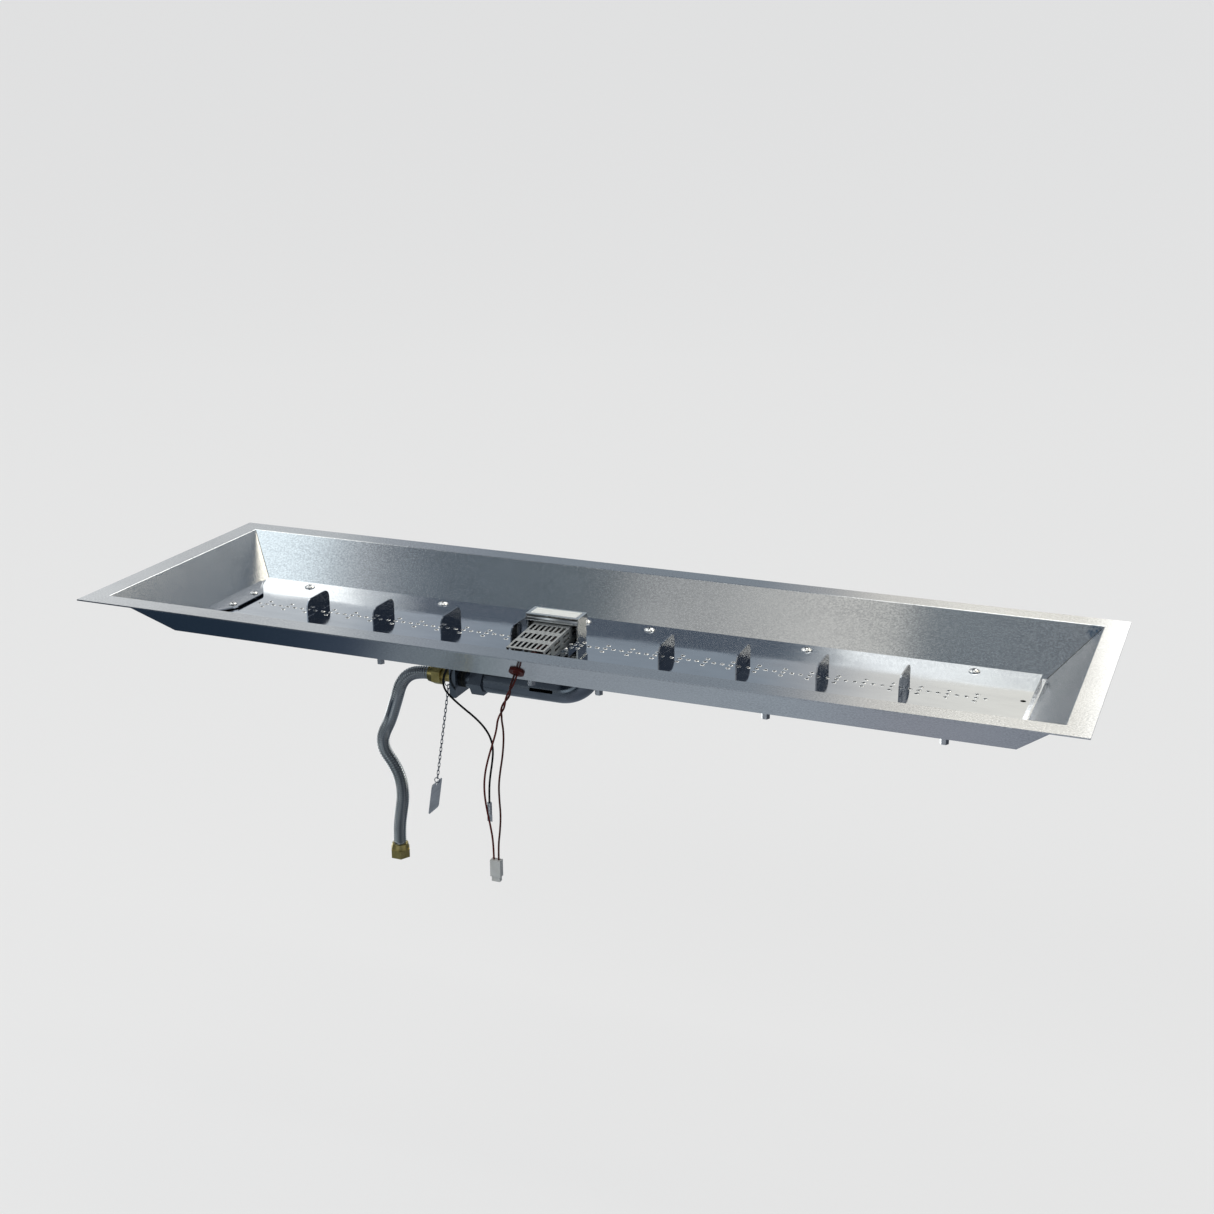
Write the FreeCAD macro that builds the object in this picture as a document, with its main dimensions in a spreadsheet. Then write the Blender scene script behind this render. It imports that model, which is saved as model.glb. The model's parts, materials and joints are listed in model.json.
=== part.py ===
import FreeCAD, Part
import math
import os
import Sketcher
from FreeCAD import Placement, Rotation, Vector

# Drop-in gas burner assembly: a sheet-metal trough with 45 degree walls, a drilled burner plate with
# flame fins, an igniter under a slotted cage and a hood, and the gas inlet below.
# Frame: origin at the centre of the rim's underside, +X along the trough, +Y to the back, +Z up.

DIMENSIONS = {
    # trough
    "rim_length": 1130.0, "rim_breadth": 355.6, "rim_flange": 25.4, "trough_depth": 50.8,
    "sheet": 1.5, "rim_bend": 2.0,
    # burner plate
    "plate_length": 970.0, "plate_breadth": 190.0, "plate_rise": 7.3,
    "port_pitch": 9.878, "port_bore": 3.8, "port_phase": 6.1, "side_port_offset": 10.0,
    "screw_row": 78.0, "screw_head_bore": 12.5, "screw_bore": 4.8, "screw_reach": 24.0, "spacer_nut": 14.5,
    # flame fins
    "fin_pitch": 88.9, "fin_breadth": 50.0, "fin_rise": 20.8, "fin_corner": 10.0, "fin_gap": 0.3,
    "fin_tab": 18.0,
    # igniter cage and hood
    "cage_width": 45.4, "cage_reach": 98.5, "cage_front": -70.0, "cage_front_rise": 13.6,
    "cage_back_rise": 20.0, "cage_sheet": 1.0, "slot_pitch": 6.05, "slot_width": 3.5,
    "slot_length": 15.5, "slot_row": 25.0, "hood_centre": -51.15, "hood_width": 63.3,
    "hood_front": 5.2, "hood_depth": 24.8, "hood_rise": 28.0, "hood_bar": 6.6, "cap_skirt": 7.0,
    # gas line
    "gas_level": -101.0, "pipe_bore": 26.7, "pipe_wall": 2.8, "elbow_bend": 38.65,
    "bracket_place": -161.5, "bracket_breadth": 50.0, "bracket_drop": 67.0, "bracket_sheet": 2.0,
    "nut_flats": 22.2, "nut_length": 17.4, "thread_bore": 14.6, "hose_bore": 15.9,
    # leads and chain
    "lead_bore": 2.2, "sensor_lead_bore": 2.4, "chain_wire": 0.9, "chain_pitch": 5.2,
    "chain_width": 3.4, "chain_links": 24.0, "chain_lean": 9.0,
}

doc = FreeCAD.newDocument("burner_assembly")
sheet = doc.addObject("Spreadsheet::Sheet", "dims")
for row, (alias, value) in enumerate(DIMENSIONS.items(), start=1):
    sheet.set("A%d" % row, alias)
    sheet.set("B%d" % row, repr(value))
    sheet.setAlias("B%d" % row, alias)
doc.recompute()

SUBPARTS = []


def size(alias):
    """A driving dimension, read from the sheet."""
    return float(sheet.get(alias))


def bind(thing, **expressions):
    """Bind properties of a document object to expressions over the sheet."""
    for prop, expression in expressions.items():
        thing.setExpression(prop, expression)


def place(thing, x=0.0, y=0.0, z=0.0, axis=None, angle=0.0):
    """Set a placement, turned about an axis through the object's own origin."""
    turn = Rotation(axis, angle) if axis else Rotation()
    thing.Placement = Placement(Vector(x, y, z), turn)
    return thing


def subpart(thing, label):
    """Name a finished piece and list it for export."""
    thing.Label = label
    SUBPARTS.append(thing)
    return thing


def block(name, length, width, height, x, y, z):
    """A box bound to three expressions, with its low corner at a point."""
    thing = doc.addObject("Part::Box", name)
    bind(thing, Length=length, Width=width, Height=height)
    return place(thing, x, y, z)


def rod(name, radius, height, x, y, z, axis=None, angle=0.0):
    """A cylinder bound to two expressions, standing on a point."""
    thing = doc.addObject("Part::Cylinder", name)
    bind(thing, Radius=radius, Height=height)
    return place(thing, x, y, z, axis, angle)


def joined(name, pieces):
    thing = doc.addObject("Part::MultiFuse", name)
    thing.Shapes = pieces
    return thing


def cut(name, base, tool):
    thing = doc.addObject("Part::Cut", name)
    thing.Base = base
    thing.Tool = tool
    return thing


def shaped(name, shape):
    """A piece whose shape is worked out with Part's own functions."""
    thing = doc.addObject("Part::Feature", name)
    thing.Shape = shape
    return thing


def group(name, shapes):
    """Identical loose pieces kept together as separate solids."""
    return shaped(name, Part.makeCompound(shapes))


def origin_plane(body, role):
    for plane in body.Origin.OriginFeatures:
        if plane.Role == role:
            return plane
    raise ValueError(role)


def sketch_on(body, role, name, offset=0.0):
    sketch = body.newObject("Sketcher::SketchObject", name)
    sketch.AttachmentSupport = [(origin_plane(body, role), "")]
    sketch.MapMode = "FlatFace"
    sketch.AttachmentOffset = Placement(Vector(0, 0, offset), Rotation())
    return sketch


def outline(sketch, points):
    """A closed outline of straight lines through the points."""
    corners = [Vector(u, v, 0) for u, v in points]
    count = len(corners)
    for k in range(count):
        sketch.addGeometry(Part.LineSegment(corners[k], corners[(k + 1) % count]), False)
    for k in range(count):
        sketch.addConstraint(Sketcher.Constraint("Coincident", k, 2, (k + 1) % count, 1))


def centred_rectangle(sketch, width, height):
    """A rectangle about the sketch's origin, its two sides bound to expressions."""
    outline(sketch, [(-1, -1), (1, -1), (1, 1), (-1, 1)])
    for side, kind in enumerate(("Horizontal", "Vertical", "Horizontal", "Vertical")):
        sketch.addConstraint(Sketcher.Constraint(kind, side))
    sketch.addConstraint(Sketcher.Constraint("Symmetric", 0, 1, 1, 2, -1, 1))
    wide = sketch.addConstraint(Sketcher.Constraint("DistanceX", 0, 1, 0, 2, 2.0))
    tall = sketch.addConstraint(Sketcher.Constraint("DistanceY", 1, 1, 1, 2, 2.0))
    sketch.renameConstraint(wide, "wide")
    sketch.renameConstraint(tall, "tall")
    sketch.setExpression("Constraints.wide", width)
    sketch.setExpression("Constraints.tall", height)


def hexagon(sketch, flats):
    """A regular hexagon across the given flats, one corner on the sketch's x axis."""
    corner = flats / math.sqrt(3)
    turns = [math.radians(60 * k) for k in range(6)]
    outline(sketch, [(corner * math.cos(a), corner * math.sin(a)) for a in turns])


def pad(body, sketch, name, length):
    thing = body.newObject("PartDesign::Pad", name)
    thing.Profile = sketch
    sketch.Visibility = False
    bind(thing, Length=length)
    body.Tip = thing
    return thing


def bore_through(body, role, name, diameter, length):
    """A round pocket about the plane's origin, cut along the plane's normal."""
    sketch = sketch_on(body, role, name + "_outline")
    circle = sketch.addGeometry(Part.Circle(Vector(0, 0, 0), Vector(0, 0, 1), 1.0), False)
    sketch.addConstraint(Sketcher.Constraint("Coincident", circle, 3, -1, 1))
    measure = sketch.addConstraint(Sketcher.Constraint("Diameter", circle, 2.0))
    sketch.renameConstraint(measure, "bore")
    sketch.setExpression("Constraints.bore", diameter)
    thing = body.newObject("PartDesign::Pocket", name)
    thing.Profile = sketch
    thing.Reversed = True
    bind(thing, Length=length)
    body.Tip = thing
    return thing


def along_path(points, diameter, name=""):
    """A round tube on straight runs joined by tangent arcs, each as large as its runs allow."""
    knots = [Vector(*p) for p in points]
    edges = []
    radii = []
    start = knots[0]
    for before, corner, after in zip(knots, knots[1:], knots[2:]):
        back = (before - corner).normalize()
        ahead = (after - corner).normalize()
        shorter = min((before - corner).Length, (after - corner).Length)
        trim = 0.45 * shorter
        half_turn = (math.pi - back.getAngle(ahead)) / 2
        radius = trim / math.tan(half_turn)
        radii.append(radius)
        first = corner + back * trim
        last = corner + ahead * trim
        inward = (back + ahead).normalize()
        centre = corner + inward * (radius / math.cos(half_turn))
        middle = centre - inward * radius
        edges.append(Part.LineSegment(start, first).toShape())
        edges.append(Part.Arc(first, middle, last).toShape())
        start = last
    edges.append(Part.LineSegment(start, knots[-1]).toShape())
    path = Part.Wire(edges)
    heading = (knots[1] - knots[0]).normalize()
    ring = Part.Wire([Part.makeCircle(diameter / 2, knots[0], heading)])
    tube = path.makePipeShell([ring], True, False)
    expected = math.pi * diameter ** 2 / 4 * path.Length
    if name:
        print("%s: length %.1f, smallest radius %.1f (%.1f diameters), volume ratio %.4f" % (
            name, path.Length, min(radii), min(radii) / diameter, tube.Volume / expected))
    return tube


# ---- levels and places that follow from the driving dimensions --------------------------------

T = size("sheet")
FLOOR_TOP = T - size("trough_depth")
FLOOR_BOTTOM = FLOOR_TOP - T
PLATE_TOP = FLOOR_TOP + size("plate_rise")
WALL_SHIFT = T * math.sqrt(2)
MOUTH_X = size("rim_length") / 2 - size("rim_flange")
MOUTH_Y = size("rim_breadth") / 2 - size("rim_flange")
SCREW_ROW = size("screw_row")
SCREW_PLACES = [(x, -SCREW_ROW) for x in (-228, -40, 40, 228, 415)]
SCREW_PLACES += [(x, SCREW_ROW) for x in (-415, -228, -40, 40, 228, 415)]
GAS_LEVEL = size("gas_level")
BRACKET_X = size("bracket_place")
HOOD_X = size("hood_centre")
HOOD_Y = size("hood_front")
BUSHING = (-160.0, -44.0)
GROMMET_X = -39.2
GROMMET_DEPTH = -36.0
WALL_NORMAL = Vector(0, -1, -1).normalize()
WALL_TURN = Rotation(Vector(0, 0, 1), WALL_NORMAL)
GROMMET = Vector(GROMMET_X, -(MOUTH_Y + WALL_SHIFT - T + GROMMET_DEPTH), GROMMET_DEPTH)


# ---- trough ---------------------------------------------------------------------------------

def frustum(name, extra, depth):
    """The trough's 45 degree hopper shape from the rim's top down, grown sideways by extra."""
    thing = doc.addObject("Part::Wedge", name)
    thing.Ymin = 0
    grow = " + " + extra
    mouth_x = "dims.rim_length / 2 - dims.rim_flange" + grow
    mouth_y = "dims.rim_breadth / 2 - dims.rim_flange" + grow
    bind(thing, Ymax=depth)
    bind(thing, Xmin="-(%s)" % mouth_x, Xmax=mouth_x, Zmin="-(%s)" % mouth_y, Zmax=mouth_y)
    bind(thing, X2min="-(%s - (%s))" % (mouth_x, depth), X2max="%s - (%s)" % (mouth_x, depth))
    bind(thing, Z2min="-(%s - (%s))" % (mouth_y, depth), Z2max="%s - (%s)" % (mouth_y, depth))
    return place(thing, z=T, axis=Vector(1, 0, 0), angle=-90)


def trough_pan():
    rim = block("rim_blank", "dims.rim_length", "dims.rim_breadth", "dims.sheet",
                -size("rim_length") / 2, -size("rim_breadth") / 2, 0)
    outside = frustum("hopper_outside", "dims.sheet * sqrt(2)", "dims.trough_depth + dims.sheet")
    inside = frustum("hopper_inside", "0", "dims.trough_depth")
    shell = cut("hopper_shell", joined("hopper_blank", [rim, outside]), inside)
    doc.recompute()
    bend = doc.addObject("Part::Fillet", "rim_bend")
    bend.Base = shell
    bend.Edges = [
        (number, size("rim_bend"), size("rim_bend"))
        for number, edge in enumerate(shell.Shape.Edges, start=1)
        if all(abs(v.Z - T) < 1e-6 and abs(abs(v.X) - MOUTH_X) < 1e-6
               and abs(abs(v.Y) - MOUTH_Y) < 1e-6 for v in edge.Vertexes)
    ]
    holes = [
        rod("pan_screw_hole", "dims.screw_bore / 2 + 0.2", "4 * dims.sheet", x, y, FLOOR_BOTTOM - T)
        for x, y in SCREW_PLACES
    ]
    holes.append(rod("pan_gas_hole", "dims.pipe_bore / 2", "4 * dims.sheet", 0, 0, FLOOR_BOTTOM - T))
    holes.append(rod("pan_bushing_hole", "3.5", "4 * dims.sheet", *BUSHING, FLOOR_BOTTOM - T))
    for y in (-15, 15):
        holes.append(rod("pan_bracket_hole", "2.2", "4 * dims.sheet", BRACKET_X - 16, y, FLOOR_BOTTOM - T))
    wall_hole = rod("pan_grommet_hole", "4.5", "6 * dims.sheet", 0, 0, 0)
    wall_hole.Placement = Placement(GROMMET - WALL_NORMAL * 3 * T, WALL_TURN)
    holes.append(wall_hole)
    return cut("trough_pan", bend, joined("pan_holes", holes))


# ---- burner plate ----------------------------------------------------------------------------

def port_places():
    """Gas ports in one row, every third one flanked by two more; none under the igniter hood."""
    pitch = size("port_pitch")
    hidden = size("hood_width") / 2 + 3
    places = []
    for k in range(-45, 45):
        x = size("port_phase") + k * pitch
        if abs(x - HOOD_X) < hidden:
            continue
        offsets = (-1, 0, 1) if k % 3 == 1 else (0,)
        places += [(x, side * size("side_port_offset")) for side in offsets]
    return places


def burner_plate():
    body = doc.addObject("PartDesign::Body", "plate_tray")
    face = sketch_on(body, "XY_Plane", "plate_outline")
    centred_rectangle(face, "dims.plate_length", "dims.plate_breadth")
    pad(body, face, "plate_blank", "dims.plate_rise")
    hollow = sketch_on(body, "XY_Plane", "plate_hollow")
    centred_rectangle(hollow, "dims.plate_length - 2 * dims.sheet", "dims.plate_breadth - 2 * dims.sheet")
    pocket = body.newObject("PartDesign::Pocket", "plate_underside")
    pocket.Profile = hollow
    pocket.Reversed = True
    bind(pocket, Length="dims.plate_rise - dims.sheet")
    body.Tip = pocket
    place(body, z=FLOOR_TOP)
    drill = [Part.makeCylinder(size("port_bore") / 2, 4 * T, Vector(x, y, PLATE_TOP - 2 * T))
             for x, y in port_places()]
    drill += [Part.makeCylinder(size("screw_bore") / 2 + 0.1, 4 * T, Vector(x, y, PLATE_TOP - 2 * T))
              for x, y in SCREW_PLACES]
    tab = size("fin_tab")
    for k in (-4, -3, -2, -1, 1, 2, 3, 4):
        corner = Vector(k * size("fin_pitch") - T / 2, -tab / 2, PLATE_TOP - 2 * T)
        drill.append(Part.makeBox(T, tab, 4 * T, corner))
    drill.append(Part.makeCylinder(3.0, 4 * T, Vector(478, 8, PLATE_TOP - 2 * T)))
    drill.append(Part.makeCylinder(2.5, 4 * T, Vector(HOOD_X + 9, 17.5, PLATE_TOP - 2 * T)))
    for y in (-23, 23):
        drill.append(Part.makeCylinder(2.0, 4 * T, Vector(-461, y, PLATE_TOP - 2 * T)))
    return cut("burner_plate", body, group("plate_drill", drill))


def flame_fin(number, k):
    """An upright plate with rounded shoulders that stands in the plate on one tab."""
    body = doc.addObject("PartDesign::Body", "fin_body_%d" % number)
    sketch = sketch_on(body, "YZ_Plane", "fin_outline_%d" % number)
    half = size("fin_breadth") / 2
    top = size("fin_rise")
    gap = size("fin_gap")
    bend = size("fin_corner")
    tab = size("fin_tab") / 2
    foot = -2 * T
    left = Vector(-half + bend, top - bend, 0)
    right = Vector(half - bend, top - bend, 0)
    lines = [
        ((right.x, top), (left.x, top)), ((-half, left.y), (-half, gap)), ((-half, gap), (-tab, gap)),
        ((-tab, gap), (-tab, foot)), ((-tab, foot), (tab, foot)), ((tab, foot), (tab, gap)),
        ((tab, gap), (half, gap)), ((half, gap), (half, right.y)),
    ]
    for (u0, v0), (u1, v1) in lines:
        sketch.addGeometry(Part.LineSegment(Vector(u0, v0, 0), Vector(u1, v1, 0)), False)
    up = Vector(0, 0, 1)
    sketch.addGeometry(Part.ArcOfCircle(Part.Circle(left, up, bend), math.pi / 2, math.pi), False)
    sketch.addGeometry(Part.ArcOfCircle(Part.Circle(right, up, bend), 0, math.pi / 2), False)
    pad(body, sketch, "fin_pad_%d" % number, "dims.sheet")
    place(body, k * size("fin_pitch") - T / 2, 0, PLATE_TOP)
    return body


# ---- fasteners --------------------------------------------------------------------------------

def cross_screw(head, rise, shank, reach):
    """A domed cross-recess screw standing head up, its head resting on z = 0."""
    half = head / 2
    lip = 0.25 * rise
    dome = (half ** 2 + (rise - lip) ** 2) / (2 * (rise - lip))
    crown = Vector(0, 0, rise)
    edge = Vector(half, 0, lip)
    lean = math.asin(half / dome) / 2
    between = Vector(dome * math.sin(lean), 0, rise - dome * (1 - math.cos(lean)))
    corners = [edge, Vector(half, 0, 0), Vector(shank / 2, 0, 0), Vector(shank / 2, 0, -reach),
               Vector(0, 0, -reach), crown]
    edges = [Part.Arc(crown, between, edge).toShape()]
    edges += [Part.LineSegment(a, b).toShape() for a, b in zip(corners, corners[1:])]
    turned = Part.Face(Part.Wire(edges)).revolve(Vector(0, 0, 0), Vector(0, 0, 1), 360)
    slot = 0.11 * head
    arm = 0.27 * head
    deep = 0.6 * rise
    for length, width in ((arm, slot / 2), (slot / 2, arm)):
        corner = Vector(-length, -width, rise - deep)
        turned = turned.cut(Part.makeBox(2 * length, 2 * width, rise, corner))
    return turned


def hex_ring(flats, thick, bore):
    """A hexagonal nut with a plain bore, lying on z = 0."""
    corner = flats / math.sqrt(3)
    turns = [math.radians(60 * k) for k in range(7)]
    rim = Part.makePolygon([Vector(corner * math.cos(a), corner * math.sin(a), 0) for a in turns])
    prism = Part.Face(rim).extrude(Vector(0, 0, thick))
    chamfer = Part.makeCone(corner * 1.04 + thick, corner * 0.94, thick + corner * 0.1)
    rounded = prism.common(chamfer)
    return rounded.cut(Part.makeCylinder(bore / 2, 3 * thick, Vector(0, 0, -thick)))


def moved(shape, x, y, z, axis=Vector(0, 0, 1), angle=0.0):
    """A copy of a shape, turned about its own origin and then moved."""
    copy = shape.copy()
    copy.Placement = Placement(Vector(x, y, z), Rotation(axis, angle))
    return copy


def fasteners():
    screw = cross_screw(size("screw_head_bore"), 3.2, size("screw_bore"), size("screw_reach"))
    turns = (20, 65, 5, 50, 80, 35, 10, 70, 25, 55, 0)
    heads = [moved(screw, x, y, PLATE_TOP, angle=turn) for (x, y), turn in zip(SCREW_PLACES, turns)]
    subpart(group("plate_screws", heads), "plate_screws")
    nut = hex_ring(8.0, size("spacer_nut"), size("screw_bore"))
    nuts = [moved(nut, x, y, FLOOR_BOTTOM, Vector(1, 0, 0), 180) for x, y in SCREW_PLACES]
    subpart(group("plate_nuts", nuts), "plate_nuts")


# ---- left end cover ---------------------------------------------------------------------------

def end_cover():
    body = doc.addObject("PartDesign::Body", "end_cover_body")
    sketch = sketch_on(body, "XY_Plane", "end_cover_outline")
    outline(sketch, [(-482, -71), (-479, -71), (-454, -33), (-451, -27), (-451, 27), (-454, 33),
                     (-479, 71), (-482, 71)])
    pad(body, sketch, "end_cover_pad", "dims.sheet")
    place(body, z=PLATE_TOP + T)
    feet = [rod("cover_foot", "4", "dims.sheet", -461, y, PLATE_TOP) for y in (-23, 23)]
    holes = [rod("cover_hole", "2", "6 * dims.sheet", -461, y, PLATE_TOP - T) for y in (-23, 23)]
    subpart(cut("end_cover", joined("end_cover_blank", [body] + feet), joined("cover_holes", holes)),
            "end_cover")
    screw = cross_screw(9.5, 2.6, 4.0, 9.0)
    heads = [moved(screw, -461, y, PLATE_TOP + 2 * T, angle=turn) for y, turn in ((-23, 15), (23, 60))]
    subpart(group("end_cover_screws", heads), "end_cover_screws")


# ---- igniter cage, hood and igniter -----------------------------------------------------------

def igniter_cage():
    """A slotted channel, open below and at both ends, that slopes down towards the front."""
    front = size("cage_front")
    reach = size("cage_reach")
    low = size("cage_front_rise")
    high = size("cage_back_rise")
    skin = size("cage_sheet")
    body = doc.addObject("PartDesign::Body", "cage_body")
    side = sketch_on(body, "YZ_Plane", "cage_side")
    outline(side, [(front, 0), (front + reach, 0), (front + reach, high), (front, low)])
    pad(body, side, "cage_pad", "dims.cage_width")
    tunnel = sketch_on(body, "YZ_Plane", "cage_tunnel", skin)
    outline(tunnel, [(front - 1, -1), (front + reach + 1, -1), (front + reach + 1, high - skin),
                     (front - 1, low - skin)])
    hollow = body.newObject("PartDesign::Pocket", "cage_hollow")
    hollow.Profile = tunnel
    hollow.Reversed = True
    bind(hollow, Length="dims.cage_width - 2 * dims.cage_sheet")
    body.Tip = hollow
    place(body, HOOD_X - size("cage_width") / 2, 0, PLATE_TOP)
    slope = math.degrees(math.atan2(high - low, reach))
    tilt = Rotation(Vector(1, 0, 0), slope)
    slot = size("slot_width")
    length = size("slot_length")
    pitch = size("slot_pitch")
    cutters = []
    for row in range(4):
        along = (row + 0.5) * size("slot_row") - length / 2
        for column in range(-3, 4):
            cutter = Part.makeBox(slot, length, 12, Vector(column * pitch - slot / 2, along, -6))
            cutter.Placement = Placement(Vector(HOOD_X, front, PLATE_TOP + low), tilt)
            cutters.append(cutter)
        for drop in (5.0, 5.0 + pitch):
            cutter = Part.makeBox(size("cage_width") + 8, length, slot,
                                  Vector(-size("cage_width") / 2 - 4, along, -drop - slot / 2))
            cutter.Placement = Placement(Vector(HOOD_X, front, PLATE_TOP + low), tilt)
            cutters.append(cutter)
    return cut("igniter_cage", body, group("cage_slots", cutters))


def pilot_hood():
    """Three walls around the cage's back end, a hemmed bar across the open front."""
    left = HOOD_X - size("hood_width") / 2
    walls = block("hood_walls", "dims.hood_width", "dims.hood_depth", "dims.hood_rise",
                  left, HOOD_Y, PLATE_TOP)
    skin = size("cage_sheet")
    room = block("hood_room", "dims.hood_width - 2 * dims.cage_sheet",
                 "dims.hood_depth - 2 * dims.cage_sheet", "dims.hood_rise + 10",
                 left + skin, HOOD_Y + skin, PLATE_TOP - 5)
    door = block("hood_door", "dims.hood_width - 4 * dims.cage_sheet", "5",
                 "dims.hood_rise - dims.hood_bar + 5", left + 2 * skin, HOOD_Y - 2, PLATE_TOP - 5)
    shell = cut("hood_shell", walls, joined("hood_openings", [room, door]))
    hem = rod("hood_hem", "1", "dims.hood_width", left, HOOD_Y + 0.2,
              PLATE_TOP + size("hood_rise") - size("hood_bar"), Vector(0, 1, 0), 90)
    return joined("pilot_hood", [shell, hem])


def hood_cap():
    """A tray turned upside down on the hood, open at the front, with a blank label plate."""
    skin = size("cage_sheet")
    left = HOOD_X - size("hood_width") / 2 - skin
    top = PLATE_TOP + size("hood_rise")
    tray = block("cap_blank", "dims.hood_width + 2 * dims.cage_sheet",
                 "dims.hood_depth + 2 * dims.cage_sheet", "dims.cap_skirt + dims.cage_sheet",
                 left, HOOD_Y - skin, top - size("cap_skirt"))
    room = block("cap_room", "dims.hood_width", "dims.hood_depth + 5 * dims.cage_sheet", "dims.cap_skirt",
                 left + skin, HOOD_Y - 5 * skin, top - size("cap_skirt"))
    subpart(cut("hood_cap", tray, room), "hood_cap")
    label = block("cap_label", "56", "18.5", "0.3", HOOD_X - 28, HOOD_Y + 3.4, top + skin)
    subpart(label, "cap_label")


def igniter():
    holder = block("igniter_block", "30", "9", "11", HOOD_X - 15, HOOD_Y + 9, PLATE_TOP)
    subpart(holder, "igniter_holder")
    level = PLATE_TOP + 6
    toward_front = (Vector(1, 0, 0), 90)
    ceramic = rod("igniter_ceramic", "3.5", "18", HOOD_X - 7, HOOD_Y + 9, level, *toward_front)
    subpart(ceramic, "igniter_ceramic")
    blade = block("igniter_blade", "3.2", "20", "1.2", HOOD_X - 8.6, HOOD_Y - 29, level - 0.6)
    subpart(blade, "igniter_element")
    collar = rod("sensor_collar", "2.6", "10", HOOD_X + 8, HOOD_Y + 9, level, *toward_front)
    probe = rod("sensor_probe", "1.2", "44", HOOD_X + 8, HOOD_Y + 9, level, *toward_front)
    subpart(joined("flame_sensor", [collar, probe]), "flame_sensor")
    # the strap beside the cage holds the igniter down
    edge = HOOD_X + size("cage_width") / 2
    strap = block("strap_bar", "10", "30", "1.2", edge + 1, HOOD_Y - 31, PLATE_TOP)
    lip = block("strap_lip", "1.2", "30", "5", edge + 9.8, HOOD_Y - 31, PLATE_TOP)
    bores = [rod("strap_bore", "1.6", "4", edge + 5, y, PLATE_TOP - 1) for y in (-21, -5)]
    subpart(cut("igniter_strap", joined("strap_blank", [strap, lip]), joined("strap_bores", bores)),
            "igniter_strap")
    screw = cross_screw(6.4, 2.2, 3.2, 1.2)
    heads = [moved(screw, edge + 5, y, PLATE_TOP + 1.2, angle=turn) for y, turn in ((-21, 30), (-5, 75))]
    subpart(group("strap_screws", heads), "strap_screws")


# ---- gas line -----------------------------------------------------------------------------------

def gas_bracket():
    """A bent bracket under the floor that holds the inlet fitting."""
    skin = size("bracket_sheet")
    half = size("bracket_breadth") / 2
    bottom = FLOOR_BOTTOM - size("bracket_drop")
    web = block("bracket_web", "dims.bracket_sheet", "dims.bracket_breadth", "dims.bracket_drop",
                BRACKET_X - skin, -half, bottom)
    flanges = [
        block("bracket_flange", "8", "dims.bracket_sheet", "dims.bracket_drop", BRACKET_X - 8, y, bottom)
        for y in (-half, half - skin)
    ]
    foot = block("bracket_foot", "24", "dims.bracket_breadth", "dims.bracket_sheet",
                 BRACKET_X - 24, -half, FLOOR_BOTTOM - skin)
    bore = rod("bracket_bore", "dims.thread_bore / 2", "20", BRACKET_X - 10, 0, GAS_LEVEL,
               Vector(0, 1, 0), 90)
    bolts = [rod("bracket_bolt_bore", "2.2", "8", BRACKET_X - 16, y, FLOOR_BOTTOM - 6) for y in (-15, 15)]
    blank = joined("bracket_blank", [web, foot] + flanges)
    subpart(cut("gas_bracket", blank, joined("bracket_bores", [bore] + bolts)), "gas_bracket")
    screw = cross_screw(8.0, 2.4, 4.4, 8.0)
    nut = hex_ring(7.0, 3.2, 4.4)
    pieces = [moved(screw, BRACKET_X - 16, y, FLOOR_TOP) for y in (-15, 15)]
    pieces += [moved(nut, BRACKET_X - 16, y, FLOOR_BOTTOM - skin, Vector(1, 0, 0), 180) for y in (-15, 15)]
    subpart(group("bracket_screws", pieces), "bracket_screws")


def hex_body(name, flats, length, bore, start):
    """A hexagonal sleeve along +X, starting at x = start on the gas line."""
    body = doc.addObject("PartDesign::Body", name + "_body")
    sketch = sketch_on(body, "YZ_Plane", name + "_hexagon")
    hexagon(sketch, flats)
    pad(body, sketch, name + "_pad", length)
    bore_through(body, "YZ_Plane", name + "_bore", bore, length)
    return place(body, start, 0, GAS_LEVEL)


def flare_nut(name, tip, turn):
    """A flare nut whose mouth opens along the turned +Z, its back face at the tip."""
    flats = size("nut_flats")
    length = size("nut_length")
    body = hex_ring(flats, length * 0.62, size("thread_bore"))
    neck = Part.makeCone(flats * 0.44, flats * 0.5, length * 0.38)
    sleeve = Part.makeCylinder(size("hose_bore") / 2 + 0.05, length * 0.5)
    solid = moved(body, 0, 0, length * 0.38).fuse(neck)
    solid = solid.cut(sleeve).cut(Part.makeCylinder(size("thread_bore") / 2, length))
    nut = shaped(name, solid.removeSplitter())
    nut.Placement = Placement(tip, turn)
    return nut


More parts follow.
